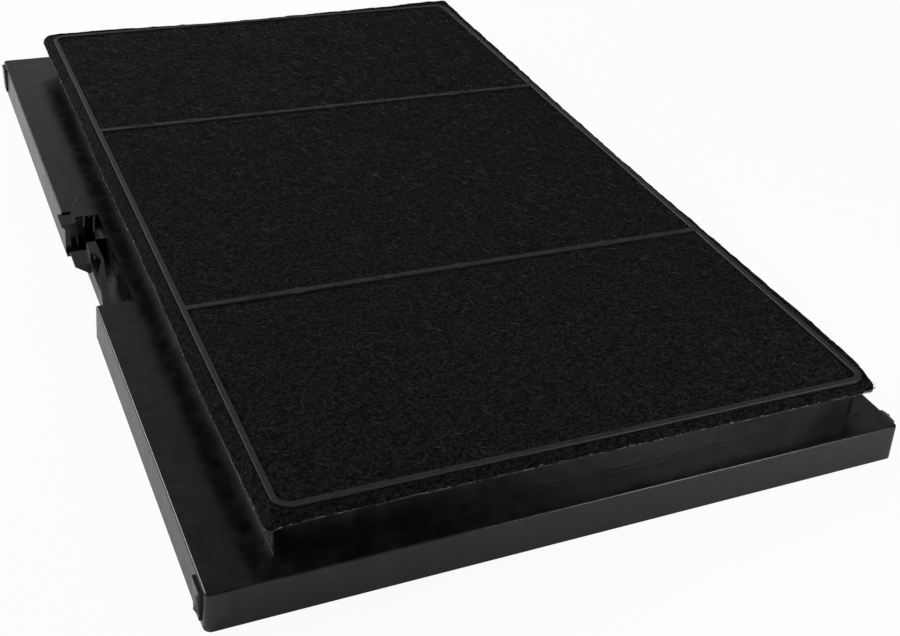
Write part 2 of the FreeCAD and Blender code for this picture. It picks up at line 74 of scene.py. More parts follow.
# The warp: places along the long side with the slope of the grid there, about a pivot
LEAN_PLACES = (-217, NEAR_RIB, FAR_RIB, 218)
LEAN_SLOPES = (-0.0055, -0.0155, -0.0125, -0.006)
LEAN_PIVOT = -15
SKEW_SLOPE = -0.0024
SKEW_PIVOT = -60
WAVER = 0.12
WAVER_GRAIN = 60.0


# Meshes

NOISE_CELLS = 512
NOISE_START = (77.3, 31.9)


def smooth_step(share):
    return share * share * (3 - 2 * share)


def lattice_noise(x, y, grain, seed):
    """Smooth noise from -1 to 1 whose lumps are about one grain wide, in millimetres."""
    values = np.random.default_rng(seed).uniform(-1, 1, (NOISE_CELLS, NOISE_CELLS))
    u = np.asarray(x, float) / grain + NOISE_START[0]
    v = np.asarray(y, float) / grain + NOISE_START[1]
    column = np.floor(u).astype(int)
    row = np.floor(v).astype(int)
    across = smooth_step(u - column)
    along = smooth_step(v - row)
    column, next_column = column % NOISE_CELLS, (column + 1) % NOISE_CELLS
    row, next_row = row % NOISE_CELLS, (row + 1) % NOISE_CELLS
    low = values[column, row] * (1 - across) + values[next_column, row] * across
    high = values[column, next_row] * (1 - across) + values[next_column, next_row] * across
    return low * (1 - along) + high * along


def ease(value, start, end):
    """0 below start, 1 above end and smooth between them."""
    return smooth_step(np.clip((np.asarray(value, float) - start) / (end - start), 0, 1))


def depth_inside(x, y, low, high, corner):
    """Distance inwards from the outline of a rounded rectangle."""
    middle = (low[:2] + high[:2]) / 2
    half = (high[:2] - low[:2]) / 2 - corner
    out_x = np.abs(x - middle[0]) - half[0]
    out_y = np.abs(y - middle[1]) - half[1]
    outside = np.hypot(np.maximum(out_x, 0), np.maximum(out_y, 0))
    return corner - outside - np.minimum(np.maximum(out_x, out_y), 0)


def grid_warp(x, y):
    """How far the thin grid has crept on the felt: it leans and its ribs run askew."""
    lean = np.interp(y, LEAN_PLACES, LEAN_SLOPES)
    across = SKEW_SLOPE * (y - SKEW_PIVOT) + WAVER * lattice_noise(x, y, WAVER_GRAIN, 41)
    back = lean * (x - LEAN_PIVOT) + WAVER * lattice_noise(x, y, WAVER_GRAIN, 42)
    return across, back


def plastic_clearance(x, y):
    """Distance from the nearest edge of the grid's band or ribs; negative under the plastic."""
    across, back = grid_warp(x, y)
    x = x - across
    y = y - back
    outer = depth_inside(x, y, BAND_LOW, BAND_HIGH, BAND_CORNER)
    clearance = np.where(outer < BAND_WIDTH / 2, -outer, outer - BAND_WIDTH)
    for rib in RIBS:
        beside = np.abs(y - rib) - RIB_WIDTH / 2
        clearance = np.where(outer > 0, np.minimum(clearance, beside), clearance)
    return clearance


def build_mesh(name, points, faces, smooth=True):
    """A mesh object from points in millimetres."""
    mesh = bpy.data.meshes.new(name)
    mesh.from_pydata((np.asarray(points) * MM).tolist(), [], [list(map(int, f)) for f in faces])
    mesh.validate()
    mesh.update()
    mesh.polygons.foreach_set("use_smooth", [smooth] * len(mesh.polygons))
    made = bpy.data.objects.new(name, mesh)
    bpy.context.scene.collection.objects.link(made)
    return made


# Felt, in millimetres

FELT_CORNER = 2.5
EDGE_ZONE = 6.0
EDGE_PLACES = np.array([0, 0.4, 0.85, 1.35, 1.9, 2.5, 3.2, 4.0, 4.9, EDGE_ZONE])
FELT_STEP = 1.8

# Where the cut edge runs: pairs of place along the side and edge line
NEAR_LINE = ((-120, -220.3), (-114, -219.0), (-98, -218.3), (10, -218.7), (137, -219.4))
LEFT_LINE = ((-220, -119.2), (-150, -120.2), (-60, -119.7), (40, -120.3), (130, -119.8),
             (222, -120.4))
RIGHT_LINE = ((-220, 135.6), (-206, 137.2), (-170, 137.3), (-144, 136.6), (-102, 135.9),
              (-60, 135.1), (15, 134.6), (60, 134.9), (195, 136.3), (222, 136.9))
FAR_LINE = ((-120, 222.4), (-93, 223.1), (-57, 222.0), (-21, 219.6), (8, 220.4), (47, 221.6),
            (78, 222.8), (99, 224.2), (121, 225.4), (137, 225.6))
# How far into the felt its edge is pulled along: on the left and near sides, on the other two
NEAR_PULL = 5
FAR_PULL = 9

# How far each side slopes down and over what width; the last is the narrow rounding all round
LEFT_SLOPE = (2.6, 4.6)
NEAR_SLOPE = (2.4, 2.7)
ROUND_SLOPE = (0.8, 0.9)
SLOPE_POWER = 1.5
# Heights, and where each starts and ends as a distance from the plastic
TOP_GAP = 0.06
CROWN = 0.55
CROWN_RUN = (0.2, 7.0)
CROWN_DEPTH = 3
COLLAR = 0.62
COLLAR_RUN = (-0.1, 0.25)
COLLAR_REACH = 1.6
LUMPS_RUN = (0.1, 1.6)
# The strip outside the band on the right and far sides stands higher
MARGIN_RISE = 0.6
MARGIN_RUN = (0.2, 1.6)
MARGIN_GAP = 0.4
# The near right corner hangs down
DROOP = 1.9
DROOP_REACH = 9.0
# Lumps of the upper side: height, grain and seed
LUMPS = ((0.16, 26.0, 1), (0.12, 8.0, 2), (0.17, 3.7, 3), (0.17, 2.0, 4))

# The upright sides in layers: share of the height, and how far each puffs out
SIDE_LAYERS = ((0.7, 0.16), (0.35, 0.2), (0.1, 0.08))
SIDE_ROUGH = 0.12
SIDE_GRAIN = 2.2
LAYER_SHIFT = 40
FOOT_GAP = 0.05
UNDER_ROUGH = 0.08
UNDER_GRAIN = 2.4
UNDER_RUN = (0.5, 3.0)


def line_at(line, along):
    """Where an edge line is at a place along its side."""
    return np.interp(along, [place for place, edge in line], [edge for place, edge in line])


def felt_shift(x, y):
    """How far the cut edge of the felt strays from the solid's rectangle, across and along."""
    rough = 0.22 * lattice_noise(x, y, 7.0, 11) + 0.16 * lattice_noise(x, y, 2.6, 12)
    left = line_at(LEFT_LINE, y) - mat_low[0] - rough
    right = line_at(RIGHT_LINE, y) - mat_high[0] + rough
    near = line_at(NEAR_LINE, x) - mat_low[1] + rough
    far = line_at(FAR_LINE, x) - mat_high[1] + rough
    across = (left * ease(mat_low[0] + NEAR_PULL - x, 0, NEAR_PULL)
              + right * ease(x - mat_high[0] + FAR_PULL, 0, FAR_PULL))
    back = (near * ease(mat_low[1] + NEAR_PULL - y, 0, NEAR_PULL)
            + far * ease(y - mat_high[1] + FAR_PULL, 0, FAR_PULL))
    return across, back


def side_drop(inside, drop, width):
    """How much lower the felt is near a side that slopes down from the band."""
    return drop * (1 - np.clip(inside / width, 0, 1)) ** SLOPE_POWER


def felt_top(x, y):
    """Height of the felt's upper side over a point of the true rectangle."""
    inside = depth_inside(x, y, mat_low, mat_high, FELT_CORNER)
    slope = np.maximum(side_drop(x - mat_low[0], *LEFT_SLOPE),
                       side_drop(y - mat_low[1], *NEAR_SLOPE))
    slope = np.maximum(slope, side_drop(inside, *ROUND_SLOPE))
    clear = plastic_clearance(x, y)
    crown = ease(clear, *CROWN_RUN) * (inside > BAND_WIDTH + CROWN_DEPTH)
    margin = ease(np.maximum(x - BAND_HIGH[0] - MARGIN_GAP, y - BAND_HIGH[1]), *MARGIN_RUN)
    lumps = sum(tall * lattice_noise(x, y, grain, seed) for tall, grain, seed in LUMPS)
    collar = COLLAR * np.exp(-np.maximum(clear, 0) / COLLAR_REACH) * ease(clear, *COLLAR_RUN)
    droop = DROOP * np.exp(-np.hypot(x - mat_high[0], y - mat_low[1]) / DROOP_REACH)
    height = mat_high[2] - TOP_GAP - slope - droop + MARGIN_RISE * margin
    return height + CROWN * crown + collar + lumps * ease(clear, *LUMPS_RUN)


def felt_lines(low, high):
    """Grid lines across the felt, close together near its two edges."""
    count = int(round((high - low - 2 * EDGE_ZONE) / FELT_STEP))
    middle = np.linspace(low + EDGE_ZONE, high - EDGE_ZONE, count + 1)[1:-1]
    return np.concatenate([low + EDGE_PLACES, middle, high - EDGE_PLACES[::-1]])


def round_corners(x, y):
    """Moves a rectangular grid so that its four corners become round."""
    middle = (mat_low + mat_high) / 2
    half = (mat_high - mat_low) / 2 - FELT_CORNER
    p = np.clip((np.abs(x - middle[0]) - half[0]) / FELT_CORNER, 0, 1)
    q = np.clip((np.abs(y - middle[1]) - half[1]) / FELT_CORNER, 0, 1)
    round_x = half[0] + FELT_CORNER * p * np.sqrt(1 - q * q / 2)
    round_y = half[1] + FELT_CORNER * q * np.sqrt(1 - p * p / 2)
    corner = (p > 0) & (q > 0)
    new_x = np.where(corner, middle[0] + np.sign(x - middle[0]) * round_x, x)
    new_y = np.where(corner, middle[1] + np.sign(y - middle[1]) * round_y, y)
    return new_x, new_y


def rim_of(rows, columns):
    """Indices of a grid's border, once round."""
    index = np.arange(rows * columns).reshape(rows, columns)
    return np.concatenate([index[:-1, 0], index[-1, :-1], index[:0:-1, -1], index[0, :0:-1]])


def grid_faces(rows, columns, start, flip=False):
    """The four-sided faces of a grid of points, numbered from start."""
    index = start + np.arange(rows * columns).reshape(rows, columns)
    quads = np.stack([index[:-1, :-1], index[1:, :-1], index[1:, 1:], index[:-1, 1:]], -1)
    quads = quads.reshape(-1, 4)
    return quads[:, ::-1] if flip else quads


def outward(ring):
    """Unit steps out of a closed ring that runs anticlockwise."""
    run = ring[:, :2] - np.roll(ring[:, :2], 1, 0)
    out = np.column_stack([run[:, 1], -run[:, 0]])
    out = out + np.roll(out, -1, 0)
    return out / np.linalg.norm(out, axis=1)[:, None]


def make_felt():
    """The whole mat: a crowned upper side, a sloping cut edge and a nearly flat underside."""
    lines_x = felt_lines(mat_low[0], mat_high[0])
    lines_y = felt_lines(mat_low[1], mat_high[1])
    x, y = [g.ravel() for g in np.meshgrid(lines_x, lines_y, indexing="ij")]
    x, y = round_corners(x, y)
    across, back = felt_shift(x, y)
    top = np.column_stack([x + across, y + back, felt_top(x, y)])
    rows, columns = len(lines_x), len(lines_y)
    rim = rim_of(rows, columns)
    ring = top[rim]
    out = outward(ring)
    layers = []
    foot = mat_low[2] + FOOT_GAP
    for share, stand in SIDE_LAYERS:
        rough = lattice_noise(ring[:, 0] + LAYER_SHIFT * share, ring[:, 1], SIDE_GRAIN, 21)
        puff = stand + SIDE_ROUGH * rough
        layers.append(np.column_stack([ring[:, :2] + out * puff[:, None],
                                       foot + (ring[:, 2] - foot) * share]))
    inside = depth_inside(x, y, mat_low, mat_high, FELT_CORNER)
    low_z = (foot + UNDER_ROUGH * (1 + lattice_noise(x, y, UNDER_GRAIN, 22))
             * ease(inside, *UNDER_RUN))
    bottom = np.column_stack([x + across, y + back, low_z])
    points = np.concatenate([top, *layers, bottom])
    faces = [grid_faces(rows, columns, 0, flip=True)]
    loops = [rim]
    for number in range(len(layers)):
        loops.append(len(top) + number * len(rim) + np.arange(len(rim)))
    loops.append(len(top) + len(layers) * len(rim) + rim)
    for upper, lower in zip(loops, loops[1:]):
        faces.append(np.column_stack([upper, np.roll(upper, -1), np.roll(lower, -1), lower]))
    faces.append(grid_faces(rows, columns, len(top) + len(layers) * len(rim)))
    made = build_mesh("carbon_felt", points, np.concatenate(faces))
    return made, np.column_stack([ring[:, :2], out])


# Grid, in millimetres

GRID_PITCH = 2.5
GRID_EDGE = 0.18
GRID_SAG = 0.12
GRID_WAVE = 0.1
GRID_WAVE_GRAIN = 34.0
ARC_POINTS = 9
TRIANGLES_INSIDE = 1
SAME_POINT = 1e-3


def rounded_loop(low, high, corners, inset):
    """Points about GRID_PITCH apart round a rectangle, once anticlockwise; the corner radii
    start at the near left one."""
    low = np.asarray(low, float) + inset
    high = np.asarray(high, float) - inset
    places = ((low[0], low[1], 180), (high[0], low[1], 270),
              (high[0], high[1], 0), (low[0], high[1], 90))
    arcs = []
    for (x, y, start), radius in zip(places, corners):
        radius = radius - inset
        middle = (x + radius if start in (90, 180) else x - radius,
                  y + radius if start in (180, 270) else y - radius)
        turn = np.radians(np.linspace(start, start + 90, ARC_POINTS))
        arcs.append(np.column_stack([middle[0] + radius * np.cos(turn),
                                     middle[1] + radius * np.sin(turn)]))
    loop = []
    for number, arc in enumerate(arcs):
        loop.append(arc)
        start, end = arc[-1], arcs[(number + 1) % 4][0]
        count = int(np.linalg.norm(end - start) / GRID_PITCH)
        share = np.linspace(0, 1, count + 1)[1:-1, None]
        loop.append(start + (end - start) * share)
    return np.concatenate(loop)


def grid_loops(inset):
    """The grid's outline and its three windows, which bulge inwards round the pin heads."""
    loops = [rounded_loop(BAND_LOW, BAND_HIGH, (BAND_CORNER,) * 4, inset)]
    left = BAND_LOW[0] + BAND_WIDTH - LEFT_BAND_NARROWER
    right = BAND_HIGH[0] - BAND_WIDTH
    inner = BAND_CORNER - BAND_WIDTH
    half_rib = RIB_WIDTH / 2
    tight = WINDOW_CORNER
    rows = ((BAND_LOW[1] + BAND_WIDTH, NEAR_RIB - half_rib, (inner, inner, tight, tight)),
            (NEAR_RIB + half_rib, FAR_RIB - half_rib, (tight, tight, tight, tight)),
            (FAR_RIB + half_rib, BAND_HIGH[1] - BAND_WIDTH, (tight, tight, inner, inner)))
    for low_y, high_y, corners in rows:
        loop = rounded_loop((left, low_y), (right, high_y), corners, -inset)
        for rib in RIBS:
            for column in PIN_COLUMNS:
                off = loop - (column, rib)
                reach = np.sqrt(np.maximum((PIN_HEAD - inset) ** 2 - off[:, 0] ** 2, 0))
                covered = (np.abs(off[:, 1]) < reach)
                loop[covered, 1] = rib + np.sign(off[covered, 1]) * reach[covered]
        loops.append(loop)
    return loops


def grid_height(x, y):
    """Height of the grid's upper side, which is very slightly wavy."""
    return BAND_TOP - GRID_SAG + GRID_WAVE * lattice_noise(x, y, GRID_WAVE_GRAIN, 43)


def in_window(point, loops):
    """Whether a point lies in one of the grid's windows."""
    for loop in loops[1:]:
        x, y = loop[:, 0], loop[:, 1]
        after_x, after_y = np.roll(x, -1), np.roll(y, -1)
        crosses = (y > point[1]) != (after_y > point[1])
        with np.errstate(divide="ignore", invalid="ignore"):
            at = x + (point[1] - y) / (after_y - y) * (after_x - x)
        if (crosses & (at > point[0])).sum() % 2:
            return True
    return False


def make_grid():
    """The thin moulded grid: one closed body with three windows and slightly bevelled edges."""
    full = grid_loops(0.0)
    inset = grid_loops(GRID_EDGE)
    flat = np.concatenate(inset)
    count = len(flat)
    edges = []
    start = 0
    for size in [len(loop) for loop in inset]:
        edges += [(start + i, start + (i + 1) % size) for i in range(size)]
        start += size
    points, _, faces, sources, _, _ = delaunay_2d_cdt(
        [Vector(point) for point in flat.tolist()], edges, [], TRIANGLES_INSIDE, SAME_POINT)
    assert len(points) == count
    order = [source[0] for source in sources]
    triangles = []
    for face in faces:
        corners = [order[place] for place in face]
        if not in_window(flat[corners].mean(0), inset):
            triangles.append(corners)
    triangles = np.array(triangles)
    layers = []
    thickness = grid_high[2] - mat_high[2]
    for loops, drop in ((inset, 0.0), (full, GRID_EDGE), (full, thickness)):
        x, y = np.concatenate(loops).T
        across, back = grid_warp(x, y)
        layers.append(np.column_stack([x + across, y + back, grid_height(x, y) - drop]))
    faces = triangles.tolist() + (triangles[:, ::-1] + 2 * count).tolist()
    for upper in (0, count):
        lower = upper + count
        for first, second in edges:
            faces.append([upper + second, upper + first, lower + first, lower + second])
    return build_mesh("felt_grid", np.concatenate(layers), faces, smooth=False)


# Fibres, in millimetres

TIP_SHARE = 0.45
NEARLY_UP = (0.12, 0.21, 0.97)


def tubes(name, paths, radii):
    """Thin three-sided fibres along paths of shape (fibre, point, xyz), in millimetres."""
    count, steps = paths.shape[:2]
    tangent = np.gradient(paths, axis=1)
    tangent /= np.linalg.norm(tangent, axis=2, keepdims=True) + 1e-9
    side = np.cross(tangent, NEARLY_UP)
    side /= np.linalg.norm(side, axis=2, keepdims=True) + 1e-9
    up = np.cross(side, tangent)
    thin = np.ones(steps)
    thin[0] = thin[-1] = TIP_SHARE
    rings = []
    for angle in (90, 210, 330):
        turn = math.radians(angle)
        radius = radii[:, None, None] * thin[None, :, None]
        rings.append(paths + radius * (math.cos(turn) * side + math.sin(turn) * up))
    points = np.stack(rings, 2).reshape(-1, 3)
    base = (np.arange(count)[:, None] * steps + np.arange(steps - 1)[None, :]) * 3
    faces = []
    for corner in range(3):
        following = (corner + 1) % 3
        faces.append(np.stack([base + corner, base + following, base + 3 + following,
                               base + 3 + corner], -1).reshape(-1, 4))
    quads = np.concatenate(faces).tolist()
    first = np.arange(count) * steps * 3
    last = first + (steps - 1) * 3
    caps = np.column_stack([first + 2, first + 1, first]).tolist()
    caps += np.column_stack([last, last + 1, last + 2]).tolist()
    return build_mesh(name, points, quads + caps, smooth=False)


LYING_POINTS = 4
START_MARGIN = 2
OVER_BAND = 2.6
HEADING = (-0.35, 0.75)
BEND = 0.55
RUN_SHAPE = 3.0
SHORTEST = 0.35
LONGEST = 2.6
LOOSE_SHARE = 0.12
LOOSE_LIFT = 3.0
FIBRE_GAP = 0.03
GRID_GAP = 0.04


def lying_fibres(name, seed, count, length, radius, lift, low_y, high_y):
    """Fibres that lie on the felt, gently bent, some with one end free."""
    random = np.random.default_rng(seed)
    place_x = random.uniform(BAND_LOW[0] + START_MARGIN, BAND_HIGH[0] - START_MARGIN, count)
    place_y = random.uniform(low_y, high_y, count)
    run = random.gamma(RUN_SHAPE, length / RUN_SHAPE, count)
    run = run.clip(length * SHORTEST, length * LONGEST)
    heading = random.normal(*HEADING, count)
    bend = random.normal(0, BEND, count)
    parts = LYING_POINTS - 1
    points = np.zeros((count, LYING_POINTS, 3))
    for step in range(LYING_POINTS):
        points[:, step, 0] = place_x
        points[:, step, 1] = place_y
        turn = heading + bend * step / parts
        place_x = place_x + np.cos(turn) * run / parts
        place_y = place_y + np.sin(turn) * run / parts
    inside = depth_inside(points[..., 0], points[..., 1], BAND_LOW, BAND_HIGH, BAND_CORNER)
    keep = (inside.min(1) > BAND_WIDTH - random.uniform(0, OVER_BAND, count))
    points = points[keep]
    arch = random.uniform(0, lift, len(points))
    loose_end = np.where(random.uniform(0, 1, len(points)) < LOOSE_SHARE, lift * LOOSE_LIFT, 0)
    share = np.linspace(0, 1, LYING_POINTS)
    height = felt_top(points[..., 0], points[..., 1])
    over = ease(-plastic_clearance(points[..., 0], points[..., 1]), 0.0, 0.25)
    height = np.maximum(height, over * (BAND_TOP + GRID_GAP))
    points[..., 2] = (height + FIBRE_GAP + arch[:, None] * np.sin(share * math.pi)[None, :]
                      + loose_end[:, None] * share[None, :] ** 2)
    radii = radius * random.uniform(0.7, 1.3, len(points))
    return tubes(name, points, radii)


EDGE_POINTS = 5
EDGE_RUN = (1.4, 4.2)
EDGE_CURL = 0.75
SLOPE_WIDTH = 3.0
TOWARDS_CAMERA = 0.6
LOW_DEPTH = 0.5
LOW_SHARE = 0.6
LOW_START = 0.3
FRAY_OUT = 0.15


def edge_fibres(name, seed, count, outline, frayed=False):
    """Short curled fibres that stand out of the felt's sloping cut edge, or, frayed, out of
    the skin along its foot."""
    low_end, length_share, radius = (0.9, 0.45, 0.11) if frayed else (1.9, 1.0, 0.065)
    random = np.random.default_rng(seed)
    pick = random.integers(0, len(outline), count)
    start = outline[pick]
    start = start[np.maximum(start[:, 2], start[:, 3]) < TOWARDS_CAMERA]
    count = len(start)
    sideways = np.column_stack([-start[:, 3], start[:, 2]])
    inward = random.uniform(0, 1, count) ** 1.3 * SLOPE_WIDTH
    place = np.column_stack([start[:, :2] - start[:, 2:] * inward[:, None], np.zeros(count)])
    place[:, 2] = felt_top(place[:, 0], place[:, 1]) - 0.1
    low = (inward < LOW_DEPTH) & (random.uniform(0, 1, count) < LOW_SHARE)
    if frayed:
        low = np.ones(count, bool)
        place[:, :2] = start[:, :2] + start[:, 2:] * FRAY_OUT
    low_height = random.uniform(mat_low[2] + LOW_START, mat_low[2] + low_end, count)
    place[:, 2] = np.where(low, low_height, place[:, 2])
    outwards = np.column_stack([start[:, 2:], np.zeros(count)])
    along = np.column_stack([sideways, np.zeros(count)])
    parts = EDGE_POINTS - 1
    run = random.uniform(*EDGE_RUN, count) * length_share / parts
    turn = random.uniform(-math.pi, math.pi, count)
    curl = random.normal(0, EDGE_CURL, count)
    points = np.zeros((count, EDGE_POINTS, 3))
    here = place.copy()
    for step in range(EDGE_POINTS):
        points[:, step] = here
        angle = turn + curl * step
        rise = 0.22 * math.sin(math.pi * step / parts)
        move = along * np.cos(angle)[:, None] + outwards * (0.32 * np.sin(angle) + 0.12)[:, None]
        move[:, 2] = 0.35 * np.sin(angle + 0.8) - 0.10 + rise
        here = here + move * run[:, None]
    return tubes(name, points, radius * random.uniform(0.6, 1.4, count))


SKIN_LOW = 0.06
SKIN_TOP = 0.5
SKIN_LEAST = 0.12
SKIN_OUT = 0.26
SKIN_IN = 0.5


def make_skin_edge(outline):
    """The thin pressed skin under the felt, whose cut edge shows as a pale ragged line."""
    place = outline[:, :2]
    out = outline[:, 2:]
    x, y = place.T
    ragged = 0.10 * lattice_noise(x, y, 3.0, 31) + 0.10 * lattice_noise(x, y, 1.1, 32)
    top = (mat_low[2] + SKIN_TOP + 0.3 * lattice_noise(x, y, 4.2, 33)
           + 0.22 * lattice_noise(x, y, 1.6, 34)).clip(mat_low[2] + SKIN_LEAST)
    low = np.full(len(place), mat_low[2] + SKIN_LOW)
    near = place + out * (SKIN_OUT + ragged)[:, None]
    inner = place - out * SKIN_IN
    loops = [np.column_stack([inner, low]), np.column_stack([near, low]),
             np.column_stack([near, top]), np.column_stack([inner, top])]
    count = len(place)
    faces = []
    for number in range(4):
        here = number * count + np.arange(count)
        there = ((number + 1) % 4) * count + np.arange(count)
        faces.append(np.column_stack([here, np.roll(here, -1), np.roll(there, -1), there]))
    return build_mesh("felt_skin_edge", np.concatenate(loops), np.concatenate(faces))


# Burrs, in millimetres

# Start, end, the way it stands up, half width and height
SLIVERS = (((-133.5, 50.9, 15.95), (-134.5, 46.4, 15.95), (0, 0, 1), 0.45, 0.9),
           ((-136.2, 45.0, 15.95), (-137.1, 41.6, 15.95), (0, 0, 1), 0.35, 0.7),
           ((-131.2, 30.6, 15.95), (-130.6, 33.4, 15.95), (0, 0, 1), 0.25, 0.35),
           ((-144.5, -223.9, 11.4), (-144.5, -225.9, 4.2), (-1, 0, 0), 0.6, 1.9),
           ((-144.3, -218.2, 13.9), (-144.4, -221.6, 14.6), (-0.8, 0, 0.6), 0.3, 0.6),
           ((144.3, -219.0, 14.9), (144.4, -224.5, 14.9), (0.5, 0, 0.87), 0.5, 1.0))
STATIONS = 9
SLIVER_FOOT = 0.3
SLIVER_LEAN = 0.25


def make_burrs():
    """Torn slivers of plastic on the deck and the lugs, thickest in the middle of their run."""
    random = np.random.default_rng(400)
    points, faces = [], []
    for start, end, up, width, height in SLIVERS:
        start, end, up = [np.array(value, float) for value in (start, end, up)]
        side = np.cross(end - start, up)
        side /= np.linalg.norm(side)
        base = len(points)
        for step in range(STATIONS):
            share = step / (STATIONS - 1)
            swell = math.sin(math.pi * (0.06 + 0.88 * share)) ** 0.7
            here = start + (end - start) * share
            tall = height * swell * random.uniform(0.35, 1.0)
            wide = width * swell * random.uniform(0.7, 1.0)
            lean = side * random.normal(0, SLIVER_LEAN) * tall
            points += [here + side * wide, here + up * tall + lean,
                       here - side * wide, here - up * SLIVER_FOOT]
        for step in range(STATIONS - 1):
            ring = base + 4 * step
            for corner in range(4):
                after = (corner + 1) % 4
                faces.append([ring + corner, ring + after, ring + 4 + after, ring + 4 + corner])
        last = base + 4 * (STATIONS - 1)
        faces += [[base + 3, base + 2, base + 1, base], [last, last + 1, last + 2, last + 3]]
    return build_mesh("tray_burrs", points, faces, smooth=False)


# Loose fibres in the windows: first seed, count in all, length, radius and lift
DARK_FIBRES = (100, 15000, 4.0, 0.085, 0.25)
PALE_FIBRES = (200, 1300, 3.6, 0.05, 0.3)
WINDOWS = (("near", BAND_LOW[1], NEAR_RIB), ("middle", NEAR_RIB, FAR_RIB),
           ("far", FAR_RIB, BAND_HIGH[1]))

felt, felt_outline = make_felt()
skin_edge = make_skin_edge(felt_outline)
grid = make_grid()
burrs = make_burrs()
dark_fibres = []
pale_fibres = []
for number, (window, low_y, high_y) in enumerate(WINDOWS):
    share = (high_y - low_y) / (BAND_HIGH[1] - BAND_LOW[1])
    for pieces, prefix, settings in ((dark_fibres, "felt_fibres", DARK_FIBRES),
                                     (pale_fibres, "pale_fibres", PALE_FIBRES)):
        seed, total, length, radius, lift = settings
        pieces.append(lying_fibres(f"{prefix}_{window}", seed + number, int(total * share),
                                   length, radius, lift, low_y, high_y))
edge_fuzz = edge_fibres("felt_edge_fibres", 300, 5200, felt_outline)
edge_frays = edge_fibres("felt_edge_frays", 301, 900, felt_outline, frayed=True)


# Materials

def linear(hex_colour):
    """An sRGB hex colour as linear red, green, blue and alpha."""
    parts = [int(hex_colour[place:place + 2], 16) / 255 for place in (1, 3, 5)]
    return [p / 12.92 if p <= 0.04045 else ((p + 0.055) / 1.055) ** 2.4 for p in parts] + [1.0]


def add(tree, kind, inputs=(), **settings):
    """Adds a node; inputs pair a socket with a value or with the output that feeds it."""
    node = tree.nodes.new(kind)
    for field, value in settings.items():
        setattr(node, field, value)
    for socket, value in dict(inputs).items():
        if isinstance(value, bpy.types.NodeSocket):
            tree.links.new(value, node.inputs[socket])
        else:
            node.inputs[socket].default_value = value
    return node


def new_material(name):
    """An empty material and its node tree."""
    material = bpy.data.materials.new(name)
    material.use_nodes = True
    material.node_tree.nodes.clear()
    return material, material.node_tree


def object_place(tree):
    return add(tree, "ShaderNodeTexCoord").outputs["Object"]


def noise(tree, place, sizes, detail, roughness=0.5):
    """Noise with patches of about these sizes along x, y and z, in metres."""
    scaled = add(tree, "ShaderNodeMapping",
                 {"Vector": place, "Scale": tuple(1 / size for size in sizes)})
    texture = add(tree, "ShaderNodeTexNoise", {"Vector": scaled.outputs[0], "Scale": 1.0,
                                               "Detail": detail, "Roughness": roughness})
    return texture.outputs["Fac"]


def join(tree, first, second, operation):
    """The product, sum or greater of two values."""
    return add(tree, "ShaderNodeMath", {0: first, 1: second}, operation=operation).outputs[0]


def spread(tree, value, start, end, low=0.0, high=1.0, **settings):
    """Maps a value so that start gives low and end gives high."""
    mapped = add(tree, "ShaderNodeMapRange", {"Value": value, "From Min": start, "From Max": end,
                                              "To Min": low, "To Max": high}, **settings)
    return mapped.outputs[0]


def tint(tree, share, dark, light):
    """A colour between two sRGB hex colours."""
    mixed = add(tree, "ShaderNodeMix", {0: share, 6: linear(dark), 7: linear(light)},
                data_type="RGBA")
    return mixed.outputs[2]


def relief(tree, height, distance, below=None):
    """Bumps of this distance in metres, over those below."""
    inputs = {"Height": height, "Strength": 1.0, "Distance": distance}
    if below is not None:
        inputs["Normal"] = below
    return add(tree, "ShaderNodeBump", inputs).outputs[0]


def surface(tree, inputs):
    """Ends a material with one shader."""
    shader = add(tree, "ShaderNodeBsdfPrincipled", inputs)
    add(tree, "ShaderNodeOutputMaterial", {"Surface": shader.outputs[0]})


def moulded_black_plastic(name, dark, light, roughness):
    """Injection-moulded black ABS from a plain steel mould: half gloss, faintly wavy where it has
    shrunk, with flow streaks, so that reflections are soft and run unevenly."""
    material, tree = new_material(name)
    place = object_place(tree)
    # cloudy tone of the surface, patches about 14 mm wide
    patches = noise(tree, place, (0.014,) * 3, 4.0, 0.6)
    # flow streaks on the upright walls, 5 mm wide and 60 mm high
    streaks = noise(tree, place, (0.005, 0.005, 0.060), 3.0)
    cloud = join(tree, patches, streaks, "MULTIPLY")
    colour = tint(tree, spread(tree, cloud, 0.12, 0.42), dark, light)
    gloss = spread(tree, cloud, 0.12, 0.42, roughness - 0.02, roughness + 0.05)
    # shrinkage waves about 30 mm apart and roughly 0.2 mm high
    wavy = relief(tree, noise(tree, place, (0.030,) * 3, 2.0), 0.0005)
    # the left deck sinks by 1.9 mm towards the plinth, so it mirrors the felt there
    across = add(tree, "ShaderNodeSeparateXYZ", {"Vector": place}).outputs["X"]
    sink = spread(tree, across, -0.138, -0.112, 0.0, -0.0019, interpolation_type="SMOOTHSTEP")
    dished = relief(tree, sink, 1.0, wavy)
    # mould grain about 0.7 mm wide, coarser than the real one so that it shows
    skin = relief(tree, noise(tree, place, (0.0007,) * 3, 2.0), 0.000015, dished)
    surface(tree, {"Base Color": colour, "Roughness": gloss, "IOR": 1.5, "Normal": skin})
    return material


